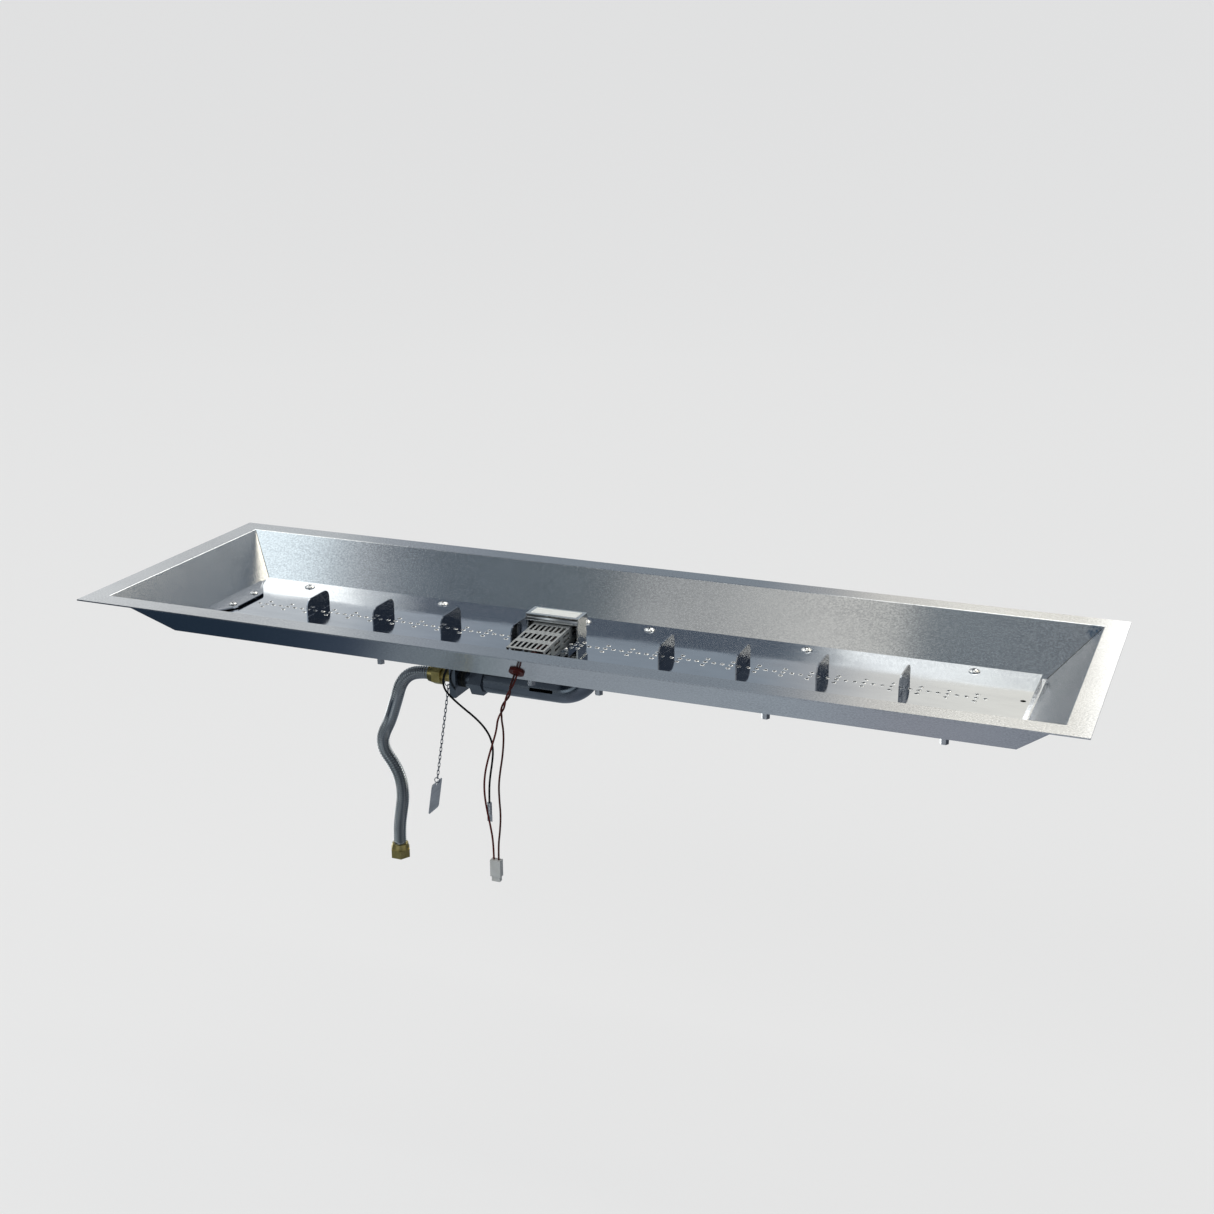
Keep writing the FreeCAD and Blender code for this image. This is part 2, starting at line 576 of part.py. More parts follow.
def gas_line():
    length = size("nut_length")
    hose_end = BRACKET_X - 45.5
    # brass inlet fitting: flare stem through the bracket, hexagon behind it
    stem_start = hose_end + 0.5 * length
    stem = rod("inlet_stem", "dims.thread_bore / 2", "30", stem_start, 0, GAS_LEVEL, Vector(0, 1, 0), 90)
    bind(stem, Height="%s - (%s)" % ("dims.bracket_place + 2", repr(stem_start)))
    collar = hex_body("inlet_collar", 19.0, "5", "1", BRACKET_X)
    passage = rod("inlet_passage", "4", "60", stem_start - 5, 0, GAS_LEVEL, Vector(0, 1, 0), 90)
    subpart(cut("inlet_fitting", joined("inlet_blank", [stem, collar]), passage), "inlet_fitting")
    jam = hex_ring(20.0, 3.6, size("thread_bore"))
    turn = Rotation(Vector(0, 1, 0), 90)
    lock = shaped("inlet_locknut", jam)
    lock.Placement = Placement(Vector(BRACKET_X - size("bracket_sheet") - 3.6, 0, GAS_LEVEL), turn)
    subpart(lock, "inlet_locknut")
    subpart(flare_nut("hose_nut_top", Vector(hose_end, 0, GAS_LEVEL), turn), "hose_nut_top")
    # steel reducer, union nut, orifice and the bent supply pipe
    nipple = rod("nipple_blank", "10.7", "7.7", BRACKET_X + 5, 0, GAS_LEVEL, Vector(0, 1, 0), 90)
    nipple_bore = rod("nipple_bore", "5", "20", BRACKET_X, 0, GAS_LEVEL, Vector(0, 1, 0), 90)
    subpart(cut("pipe_nipple", nipple, nipple_bore), "pipe_nipple")
    union = hex_body("union_nut", 31.0, "15.6", "dims.pipe_bore", BRACKET_X + 12.7)
    subpart(union, "union_nut")
    pipe_start = BRACKET_X + 12.7
    radius = size("pipe_bore") / 2
    bend = size("elbow_bend")
    top = FLOOR_TOP + 1.0
    corner = Vector(0, 0, GAS_LEVEL)
    first = corner + Vector(-bend, 0, 0)
    last = corner + Vector(0, 0, bend)
    half_turn = math.pi / 4
    middle = first + Vector(bend * math.sin(half_turn), 0, bend * (1 - math.cos(half_turn)))
    path = Part.Wire([
        Part.LineSegment(Vector(pipe_start, 0, GAS_LEVEL), first).toShape(),
        Part.Arc(first, middle, last).toShape(),
        Part.LineSegment(last, Vector(0, 0, top)).toShape(),
    ])
    tubes = []
    for ring_radius in (radius, radius - size("pipe_wall")):
        ring = Part.makeCircle(ring_radius, Vector(pipe_start, 0, GAS_LEVEL), Vector(1, 0, 0))
        tubes.append(path.makePipeShell([Part.Wire([ring])], True, False))
    window = Part.makeBox(29, 2 * radius, 4, Vector(-73, -radius, GAS_LEVEL + 0.5))
    subpart(shaped("supply_pipe", tubes[0].cut(tubes[1]).cut(window)), "supply_pipe")
    spud = rod("orifice_spud", "dims.pipe_bore / 2 - dims.pipe_wall", "12", pipe_start + 4, 0, GAS_LEVEL,
               Vector(0, 1, 0), 90)
    jet = rod("orifice_jet", "1.6", "20", pipe_start, 0, GAS_LEVEL, Vector(0, 1, 0), 90)
    subpart(cut("main_orifice", spud, jet), "main_orifice")
    lower = moved(hex_ring(38.0, 6.0, size("pipe_bore")), 0, 0, FLOOR_BOTTOM, Vector(1, 0, 0), 180)
    upper = Part.makeCylinder(19, 3, Vector(0, 0, FLOOR_TOP))
    upper = upper.cut(Part.makeCylinder(radius, 9, Vector(0, 0, FLOOR_TOP - 3)))
    subpart(group("pipe_locknuts", [lower, upper]), "pipe_locknuts")
    # diffuser bridge above the inlet, inside the plenum
    bridge = block("diffuser_bridge", "64", "44", "5", -32, -22, FLOOR_TOP)
    tunnel = block("diffuser_tunnel", "62.4", "50", "4.2", -31.2, -25, FLOOR_TOP)
    subpart(cut("gas_diffuser", bridge, tunnel), "gas_diffuser")


# ---- hose, leads, chain ---------------------------------------------------------------------------

HOSE_ROUTE = [
    (-206, 0, -101), (-226, 0, -101), (-246, 0, -115), (-256, 1, -145), (-265, 1, -171),
    (-276, 0, -192), (-274, -1, -209), (-262, -1, -224), (-253, 0, -243), (-251, 1, -266),
    (-255, 1, -289), (-258, 0, -311), (-258, 0, -332),
]
RED_ROUTE = [
    (-37.7, -119.85, -38.83), (-37.7, -124.8, -43.78), (-40.6, -125.7, -50.5), (-45.3, -126.1, -57.5),
    (-47.7, -128.5, -64.5), (-48.9, -128.2, -71.3), (-51.6, -125.3, -78.0), (-56.2, -126.2, -85.0),
    (-58.6, -127.6, -92.2), (-59.8, -127.2, -100.5), (-62.6, -126.6, -111.0), (-66.8, -126.2, -123.5),
    (-72.0, -126.0, -140.0), (-76.8, -125.0, -158.0), (-79.0, -124.0, -178.0), (-77.2, -123.0, -200.0),
    (-72.8, -123.0, -221.0), (-69.5, -123.0, -242.0), (-69.5, -123.0, -262.0),
]
BROWN_ROUTE = [
    (-40.7, -119.85, -38.83), (-40.7, -124.8, -43.78), (-42.4, -128.8, -50.5), (-42.2, -128.0, -57.5),
    (-45.7, -125.5, -64.5), (-51.7, -125.9, -71.0), (-53.8, -128.7, -78.0), (-53.2, -128.0, -85.2),
    (-54.0, -126.4, -92.2), (-52.8, -126.0, -100.5), (-52.3, -126.2, -110.8), (-53.0, -126.2, -122.5),
    (-54.7, -126.0, -136.5), (-57.5, -126.0, -152.0), (-60.0, -125.5, -169.0), (-60.2, -124.5, -187.0),
    (-59.4, -123.5, -206.0), (-61.0, -123.0, -226.0), (-63.5, -123.0, -244.0), (-63.5, -123.0, -262.0),
]
SENSOR_ROUTE = [
    (-160.0, -44.0, -54.0), (-160.0, -44.0, -62.0), (-162.5, -40.0, -73.0), (-168.5, -36.0, -82.5),
    (-173.0, -34.5, -94.0), (-171.0, -34.0, -105.5), (-161.5, -34.0, -114.5), (-148.5, -34.0, -124.0),
    (-134.5, -34.0, -133.0), (-122.0, -34.0, -143.5), (-113.5, -34.0, -156.0), (-110.5, -34.0, -170.0),
    (-112.0, -34.0, -186.0), (-115.0, -34.0, -203.0), (-117.2, -34.0, -221.0), (-117.2, -34.0, -239.0),
]


def hose():
    bore = size("hose_bore")
    length = size("nut_length")
    subpart(shaped("gas_hose", along_path(HOSE_ROUTE, bore, "gas_hose")), "gas_hose")
    start = Vector(*HOSE_ROUTE[0])
    finish = Vector(*HOSE_ROUTE[-1])
    inner = 0.5 * length - 1.05
    top_ferrule = Part.makeCylinder(bore / 2, inner, start, Vector(1, 0, 0))
    end_ferrule = Part.makeCylinder(bore / 2, inner, finish, Vector(0, 0, -1))
    passage = Part.makeCylinder(5.0, inner, start, Vector(1, 0, 0))
    end_passage = Part.makeCylinder(5.0, inner, finish, Vector(0, 0, -1))
    subpart(group("hose_ferrules", [top_ferrule.cut(passage), end_ferrule.cut(end_passage)]),
            "hose_ferrules")
    turn = Rotation(Vector(1, 0, 0), 180)
    nut = flare_nut("hose_nut_end", finish + Vector(0, 0, 1), turn)
    subpart(nut, "hose_nut_end")


def leads():
    thin = size("lead_bore")
    thick = size("sensor_lead_bore")
    subpart(shaped("igniter_lead_red", along_path(RED_ROUTE, thin, "igniter_lead_red")),
            "igniter_lead_red")
    subpart(shaped("igniter_lead_brown", along_path(BROWN_ROUTE, thin, "igniter_lead_brown")),
            "igniter_lead_brown")
    subpart(shaped("sensor_lead", along_path(SENSOR_ROUTE, thick, "sensor_lead")), "sensor_lead")
    # grommet in the front wall, and the bushing in the floor
    flange = Part.makeCylinder(8.6, 2.4, Vector(0, 0, 0))
    neck = Part.makeCone(4.4, 3.8, 1.6, Vector(0, 0, 2.4))
    plug = Part.makeCylinder(4.5, T, Vector(0, 0, -T))
    lip = Part.makeCylinder(7.0, 1.8, Vector(0, 0, -T - 1.8))
    grommet = shaped("wire_grommet", flange.fuse([neck, plug, lip]).removeSplitter())
    grommet.Placement = Placement(GROMMET, WALL_TURN)
    subpart(grommet, "wire_grommet")
    x, y = BUSHING
    stub = Part.makeCylinder(3.5, 3.2 + T + 3.6, Vector(x, y, FLOOR_BOTTOM - 3.2))
    brim = Part.makeCylinder(5.5, 1.6, Vector(x, y, FLOOR_BOTTOM - 1.6))
    subpart(shaped("lead_bushing", stub.fuse(brim).removeSplitter()), "lead_bushing")
    # connector on the two igniter leads, terminal on the sensor lead
    shell = block("plug_shell", "12.5", "7.5", "20", -72.75, -126.75, -282)
    nose = block("plug_nose", "10", "5.5", "6", -71.5, -125.75, -288)
    subpart(joined("igniter_plug", [shell, nose]), "igniter_plug")
    end = Vector(*SENSOR_ROUTE[-1])
    sleeve = Part.makeCylinder(2.8, 15, end, Vector(0, 0, -1))
    tongue = Part.makeBox(6.3, 0.8, 9, end + Vector(-3.15, -0.4, -24))
    subpart(shaped("sensor_terminal", sleeve.fuse(tongue)), "sensor_terminal")


def chain_link(pitch, width, wire):
    """One oval link in the XZ plane, its upper bend's wire centre at z = 0."""
    side = (width - wire) / 2
    drop = pitch + wire + 0.1 - 2 * side
    top = Vector(0, 0, -side)
    low = Vector(0, 0, -side - drop)
    out = Vector(side, 0, 0)
    path = Part.Wire([
        Part.LineSegment(top + out, low + out).toShape(),
        Part.Arc(low + out, low - Vector(0, 0, side), low - out).toShape(),
        Part.LineSegment(low - out, top - out).toShape(),
        Part.Arc(top - out, top + Vector(0, 0, side), top + out).toShape(),
    ])
    ring = Part.Wire([Part.makeCircle(wire / 2, top + out, Vector(0, 0, -1))])
    return path.makePipeShell([ring], True, False)


def tag_chain():
    """A ring on the inlet's stem, then links and a tag that hang a little towards the hose."""
    wire = size("chain_wire")
    pitch = size("chain_pitch")
    count = int(size("chain_links"))
    x = BRACKET_X - 22.0
    stem = size("thread_bore") / 2
    loop = 10.2
    thick = 1.0
    loop_centre = GAS_LEVEL + stem + 0.1 - (loop - thick / 2)
    hinge = Vector(x, 0, loop_centre - loop)

    def leaned(shape):
        return shape.rotated(hinge, Vector(0, 1, 0), size("chain_lean"))

    ring = Part.makeTorus(loop, thick / 2, Vector(x, 0, loop_centre), Vector(1, 0, 0))
    subpart(shaped("chain_ring", ring), "chain_ring")
    # the first link's upper bend goes round the ring's wire; each later link is one pitch lower
    first = hinge.z + (thick + wire) / 2 + 0.3
    link = chain_link(pitch, size("chain_width"), wire)
    links = [leaned(moved(link, x, 0, first - k * pitch, angle=90 * (k % 2))) for k in range(count)]
    subpart(group("tag_chain", links), "tag_chain")
    last_bend = first - count * pitch - wire - 0.1
    eye_radius = 3.4
    eye_wire = 0.5
    eye_centre = last_bend + wire / 2 + 0.3 + eye_wire - eye_radius
    eye = Part.makeTorus(eye_radius, eye_wire, Vector(x, 0, eye_centre), Vector(0, 1, 0))
    subpart(shaped("tag_ring", leaned(eye)), "tag_ring")
    hole = 1.8
    hole_centre = eye_centre - eye_radius + eye_wire + 0.1 - hole
    tag_top = hole_centre + 3.2
    plate = Part.makeBox(0.8, 26, 40, Vector(x - 0.4, -13, tag_top - 40))
    corners = [e for e in plate.Edges if abs(e.Vertexes[0].Y - e.Vertexes[-1].Y) < 1e-6
               and abs(e.Vertexes[0].Z - e.Vertexes[-1].Z) < 1e-6]
    plate = plate.makeFillet(3.0, corners)
    eyelet = Part.makeCylinder(hole, 4, Vector(x - 2, 0, hole_centre), Vector(1, 0, 0))
    subpart(shaped("data_tag", leaned(plate.cut(eyelet))), "data_tag")


def hidden_leads():
    """The leads' runs inside the trough and the plenum."""
    inner = GROMMET - WALL_NORMAL * (T + 1.8)
    level = PLATE_TOP + 3.0
    runs = []
    for side in (-1.4, 1.4):
        route = [
            (HOOD_X + 2 + side, HOOD_Y + 9, level), (HOOD_X + 2 + side, HOOD_Y - 21, level),
            (HOOD_X + 1 + side, -47, level - 0.5), (HOOD_X - 1 + side, -74, level),
            (HOOD_X + 3 + side, -94, level + 2), (GROMMET_X - 2 + side, -106, level + 7),
            (inner.x + side, inner.y, inner.z),
        ]
        runs.append(along_path(route, size("lead_bore")))
    subpart(group("inner_igniter_leads", runs), "inner_igniter_leads")
    x, y = BUSHING
    level = FLOOR_TOP + 2.6
    route = [
        (HOOD_X + 9.5, 18.2, PLATE_TOP - 0.9), (HOOD_X + 5, 15, level + 1), (HOOD_X - 6, 10, level),
        (HOOD_X - 22, -2, level), (HOOD_X - 40, -18, level), (HOOD_X - 66, -32, level),
        (HOOD_X - 92, -40, level), (x + 1, y, level),
    ]
    subpart(shaped("inner_sensor_lead", along_path(route, 1.8, "inner_sensor_lead")),
            "inner_sensor_lead")


# ---- build ----------------------------------------------------------------------------------------

subpart(trough_pan(), "trough_pan")
subpart(burner_plate(), "burner_plate")
for number, k in enumerate((-4, -3, -2, -1, 1, 2, 3, 4), start=1):
    subpart(flame_fin(number, k), "flame_fin_%d" % number)
fasteners()
end_cover()
subpart(igniter_cage(), "igniter_cage")
subpart(pilot_hood(), "pilot_hood")
hood_cap()
igniter()
gas_bracket()
gas_line()
hose()
leads()
tag_chain()
hidden_leads()
doc.recompute()

for thing in doc.Objects:
    if "Invalid" in thing.State or "Error" in thing.State:
        raise RuntimeError("%s failed to recompute: %s" % (thing.Name, thing.State))

os.makedirs("parts", exist_ok=True)
for thing in SUBPARTS:
    shape = thing.Shape
    if shape.isNull() or not shape.isValid() or not shape.Solids:
        raise RuntimeError("%s has no valid solid" % thing.Label)
    shape.exportStep("parts/%s.step" % thing.Label)
    print("%-22s solids %3d  volume %12.1f" % (thing.Label, len(shape.Solids), shape.Volume))
print("%d sub-parts" % len(SUBPARTS))
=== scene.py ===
import json
import math

import bmesh
import bpy
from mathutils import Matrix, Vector


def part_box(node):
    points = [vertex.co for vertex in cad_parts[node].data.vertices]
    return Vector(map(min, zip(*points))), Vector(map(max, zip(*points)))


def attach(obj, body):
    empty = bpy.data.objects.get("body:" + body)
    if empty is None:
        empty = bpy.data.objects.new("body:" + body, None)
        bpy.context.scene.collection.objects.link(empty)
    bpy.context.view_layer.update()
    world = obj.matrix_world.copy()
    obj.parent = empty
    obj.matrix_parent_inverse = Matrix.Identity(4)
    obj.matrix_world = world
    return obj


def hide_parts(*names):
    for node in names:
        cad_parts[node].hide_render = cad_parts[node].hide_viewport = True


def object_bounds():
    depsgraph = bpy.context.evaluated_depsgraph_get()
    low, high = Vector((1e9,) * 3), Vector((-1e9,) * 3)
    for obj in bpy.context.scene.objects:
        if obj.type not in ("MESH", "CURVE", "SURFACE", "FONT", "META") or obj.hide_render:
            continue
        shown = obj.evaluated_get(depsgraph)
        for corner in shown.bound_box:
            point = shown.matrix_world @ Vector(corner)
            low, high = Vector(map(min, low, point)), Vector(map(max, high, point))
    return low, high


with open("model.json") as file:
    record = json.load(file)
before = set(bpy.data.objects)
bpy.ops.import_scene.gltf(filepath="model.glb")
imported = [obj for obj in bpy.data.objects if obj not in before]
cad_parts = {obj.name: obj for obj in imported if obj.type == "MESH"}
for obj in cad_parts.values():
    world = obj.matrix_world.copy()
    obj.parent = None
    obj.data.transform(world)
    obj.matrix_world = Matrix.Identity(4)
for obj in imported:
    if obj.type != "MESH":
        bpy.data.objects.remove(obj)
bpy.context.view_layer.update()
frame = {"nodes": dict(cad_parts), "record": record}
nodes = frame["nodes"]

MM = 0.001
scene = bpy.context.scene


# ---- camera -------------------------------------------------------------------------------------

def add_camera():
    data = bpy.data.cameras.new("camera")
    data.sensor_width = 36
    data.lens = 50.8
    data.clip_start = 0.05
    data.clip_end = 60
    camera = bpy.data.objects.new("camera", data)
    scene.collection.objects.link(camera)
    camera.location = (0.69842, -1.68141, 0.60437)
    aim = Vector((0.0183, 0, 0.0077))
    camera.rotation_euler = (aim - camera.location).to_track_quat("-Z", "Y").to_euler()
    camera.rotation_euler.rotate_axis("Z", math.radians(-0.207))
    scene.camera = camera


def mesh_object(name, mesh):
    """Turn a finished bmesh into a smooth object in the scene."""
    data = bpy.data.meshes.new(name)
    mesh.to_mesh(data)
    mesh.free()
    data.shade_smooth()
    made = bpy.data.objects.new(name, data)
    scene.collection.objects.link(made)
    return made


def turns(sides):
    """The angles of a ring's points."""
    return [2 * math.pi * k / sides for k in range(sides)]


# ---- studio ---------------------------------------------------------------------------------------

def pale_bowl():
    """A plain floor below the part that curves up into a wall all round."""
    clearance = 0.25
    floor_radius = 5.0
    bend = 2.0
    bend_steps = 12
    wall_height = 8
    sides = 96
    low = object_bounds()[0][2] - clearance
    profile = []
    for k in range(bend_steps + 1):
        turn = math.radians(90 * k / bend_steps)
        profile.append((floor_radius + bend * math.sin(turn), low + bend * (1 - math.cos(turn))))
    profile.append((floor_radius + bend, low + wall_height))
    mesh = bmesh.new()
    centre = mesh.verts.new((0, 0, low))
    rings = []
    for radius, z in profile:
        ring = [(radius * math.cos(a), radius * math.sin(a), z) for a in turns(sides)]
        rings.append([mesh.verts.new(point) for point in ring])
    for k in range(sides):
        mesh.faces.new((centre, rings[0][k], rings[0][(k + 1) % sides]))
    for inner, outer in zip(rings, rings[1:]):
        for k in range(sides):
            mesh.faces.new((inner[k], outer[k], outer[(k + 1) % sides], inner[(k + 1) % sides]))
    floor = mesh_object("floor", mesh)
    paint = bpy.data.materials.new("floor_paint")
    paint.use_nodes = True
    shader = paint.node_tree.nodes["Principled BSDF"]
    shader.inputs["Base Color"].default_value = (0.12, 0.12, 0.12, 1)
    shader.inputs["Roughness"].default_value = 0.9
    shader.inputs["Specular IOR Level"].default_value = 0.0
    shader.inputs["Emission Color"].default_value = (1, 1, 1, 1)
    shader.inputs["Emission Strength"].default_value = 0.71
    floor.data.materials.append(paint)
    # the part is lit by, and mirrors, the studio around it rather than this floor
    floor.visible_glossy = False
    floor.visible_diffuse = False


BRIGHTEST = 6.0

# Brightness of the studio against the x part of a direction, for four parts of the sky
OVERHEAD_FRONT = [
    (-1.0, (0.30, 0.33, 0.36)), (-0.72, (0.55, 0.60, 0.64)), (-0.60, (1.30, 1.46, 1.52)),
    (-0.515, (1.30, 1.46, 1.52)), (-0.500, (0.72, 0.80, 0.85)), (-0.485, (0.50, 0.53, 0.56)),
    (-0.470, (0.27, 0.31, 0.35)), (-0.445, (0.135, 0.170, 0.205)), (-0.375, (0.140, 0.175, 0.200)),
    (-0.355, (0.17, 0.20, 0.22)), (-0.340, (0.56, 0.57, 0.56)), (-0.300, (0.58, 0.585, 0.57)),
    (-0.230, (0.82, 0.81, 0.77)), (-0.195, (0.74, 0.74, 0.70)), (-0.182, (0.22, 0.26, 0.29)),
    (-0.08, (0.24, 0.27, 0.30)), (0.10, (0.28, 0.30, 0.32)), (0.22, (0.10, 0.12, 0.14)),
    (0.60, (0.08, 0.10, 0.12)), (1.0, (0.62, 0.65, 0.68)),
]
OVERHEAD_BACK = [
    (-1.0, (0.25, 0.28, 0.31)), (-0.70, (0.60, 0.63, 0.66)), (-0.60, (2.9, 2.9, 2.75)),
    (-0.495, (2.9, 2.9, 2.75)), (-0.480, (1.1, 1.15, 1.15)), (-0.455, (0.16, 0.19, 0.24)),
    (-0.440, (0.115, 0.15, 0.20)), (-0.270, (0.125, 0.16, 0.21)), (-0.240, (0.22, 0.27, 0.32)),
    (-0.222, (1.7, 1.7, 1.62)), (-0.205, (2.3, 2.3, 2.2)), (-0.08, (1.45, 1.45, 1.35)),
    (0.02, (1.3, 1.3, 1.2)), (0.10, (0.30, 0.33, 0.36)), (0.16, (0.10, 0.12, 0.15)),
    (0.60, (0.07, 0.09, 0.12)), (1.0, (0.70, 0.73, 0.76)),
]
HORIZON = [
    (-1.0, (0.34, 0.37, 0.40)), (-0.80, (0.50, 0.53, 0.55)), (-0.64, (1.00, 1.03, 1.03)),
    (-0.60, (0.84, 0.86, 0.87)), (-0.57, (0.70, 0.72, 0.73)), (-0.50, (0.66, 0.69, 0.71)),
    (-0.475, (0.46, 0.50, 0.54)), (-0.44, (0.35, 0.39, 0.44)), (-0.41, (0.30, 0.345, 0.39)),
    (-0.27, (0.30, 0.345, 0.39)), (-0.235, (0.50, 0.51, 0.52)), (-0.205, (0.84, 0.82, 0.77)),
    (-0.15, (1.02, 0.99, 0.90)), (-0.09, (1.02, 0.98, 0.88)), (-0.05, (2.8, 2.8, 2.7)),
    (0.13, (2.8, 2.8, 2.7)), (0.16, (0.20, 0.23, 0.26)), (0.19, (0.06, 0.075, 0.10)),
    (0.60, (0.05, 0.065, 0.09)), (0.85, (0.30, 0.33, 0.36)), (1.0, (0.60, 0.63, 0.66)),
]
GROUND = [
    (-1.0, (0.20, 0.22, 0.25)), (-0.75, (0.07, 0.085, 0.11)), (-0.60, (0.022, 0.038, 0.062)),
    (-0.545, (0.022, 0.038, 0.062)), (-0.515, (0.032, 0.050, 0.078)), (-0.485, (0.055, 0.075, 0.110)),
    (-0.462, (0.20, 0.235, 0.27)), (-0.42, (0.25, 0.30, 0.325)), (-0.40, (0.34, 0.38, 0.42)),
    (-0.25, (0.39, 0.44, 0.49)), (-0.18, (0.35, 0.37, 0.42)), (-0.05, (0.29, 0.33, 0.38)),
    (0.60, (0.20, 0.22, 0.25)),
]


def add_world():
    """Soft panels and dark flags drawn as bands across a studio sky, for the steel to mirror."""
    world = bpy.data.worlds.new("studio")
    world.use_nodes = True
    scene.world = world
    tree = world.node_tree
    direction = tree.nodes.new("ShaderNodeTexCoord").outputs["Generated"]
    parts = tree.nodes.new("ShaderNodeSeparateXYZ")
    tree.links.new(direction, parts.inputs[0])
    across, deep, up = parts.outputs

    def bands(stops):
        first, last = stops[0][0], stops[-1][0]
        spread = tree.nodes.new("ShaderNodeMapRange")
        spread.inputs["From Min"].default_value = first
        spread.inputs["From Max"].default_value = last
        tree.links.new(across, spread.inputs["Value"])
        ramp = tree.nodes.new("ShaderNodeValToRGB")
        tree.links.new(spread.outputs["Result"], ramp.inputs["Fac"])
        elements = ramp.color_ramp.elements
        for k, (x, colour) in enumerate(stops):
            spot = (x - first) / (last - first)
            element = elements[k] if k < 2 else elements.new(spot)
            element.position = spot
            element.color = (*[value / BRIGHTEST for value in colour], 1)
        return ramp.outputs["Color"]

    def blend(value, start, end, low, high):
        step = tree.nodes.new("ShaderNodeMapRange")
        step.interpolation_type = "SMOOTHSTEP"
        step.inputs["From Min"].default_value = start
        step.inputs["From Max"].default_value = end
        tree.links.new(value, step.inputs["Value"])
        mix = tree.nodes.new("ShaderNodeMix")
        mix.data_type = "RGBA"
        tree.links.new(step.outputs["Result"], mix.inputs[0])
        tree.links.new(low, mix.inputs[6])
        tree.links.new(high, mix.inputs[7])
        return mix.outputs[2]

    def plain(colour):
        light = tree.nodes.new("ShaderNodeRGB")
        light.outputs[0].default_value = (*[value / BRIGHTEST for value in colour], 1)
        return light.outputs[0]

    behind = blend(up, 0.62, 0.72, bands(HORIZON), bands(OVERHEAD_BACK))
    # a narrow strip light right overhead picks out folded edges and punched holes
    strip = blend(deep, 0.08, 0.11, plain((2.6, 2.6, 2.5)), behind)
    above = blend(deep, 0.01, 0.04, bands(OVERHEAD_FRONT), strip)
    whole = blend(up, -0.06, 0.04, bands(GROUND), above)

    def panel(heading, edge, core, colour, under):
        """A round panel about a heading, laid over what is under it."""
        facing = tree.nodes.new("ShaderNodeVectorMath")
        facing.operation = "DOT_PRODUCT"
        tree.links.new(direction, facing.inputs[0])
        facing.inputs[1].default_value = Vector(heading).normalized()
        return blend(facing.outputs["Value"], edge, core, under, plain(colour))

    # what the two end walls mirror, and a glint along the fold above the left one
    whole = panel((0.285, 0.790, 0.540), 0.976, 0.990, (0.215, 0.25, 0.285), whole)
    whole = panel((0.279, 0.539, 0.796), 0.981, 0.991, (4.6, 4.3, 3.6), whole)
    whole = panel((-0.350, -0.100, 0.930), 0.985, 0.995, (0.25, 0.285, 0.315), whole)
    whole = panel((-0.010, 0.730, 0.683), 0.980, 0.988, (4.5, 4.5, 4.35), whole)
    # a bright edge, a mid streak and a dark side for the hose and the other upright rounds
    whole = panel((-0.750, 0.560, -0.330), 0.950, 0.970, (2.2, 2.3, 2.3), whole)
    whole = panel((0.100, -0.930, -0.330), 0.982, 0.992, (0.90, 0.95, 0.98), whole)
    whole = panel((0.850, 0.400, -0.330), 0.900, 0.950, (0.06, 0.07, 0.09), whole)
    sky = tree.nodes["Background"]
    sky.inputs["Strength"].default_value = BRIGHTEST
    tree.links.new(whole, sky.inputs["Color"])


def soft_light(name, place, aim, wide, tall, watts):
    data = bpy.data.lights.new(name, "AREA")
    data.shape = "RECTANGLE"
    data.size = wide
    data.size_y = tall
    data.energy = watts
    light = bpy.data.objects.new(name, data)
    scene.collection.objects.link(light)
    light.location = place
    light.rotation_euler = (Vector(aim) - Vector(place)).to_track_quat("-Z", "Y").to_euler()
    light.visible_camera = False
    light.visible_glossy = False


def add_studio():
    pale_bowl()
    add_world()
    soft_light("key", (-1.2, -2.2, 2.4), (0, 0, -0.1), 1.6, 1.2, 30)


# ---- materials --------------------------------------------------------------------------------------

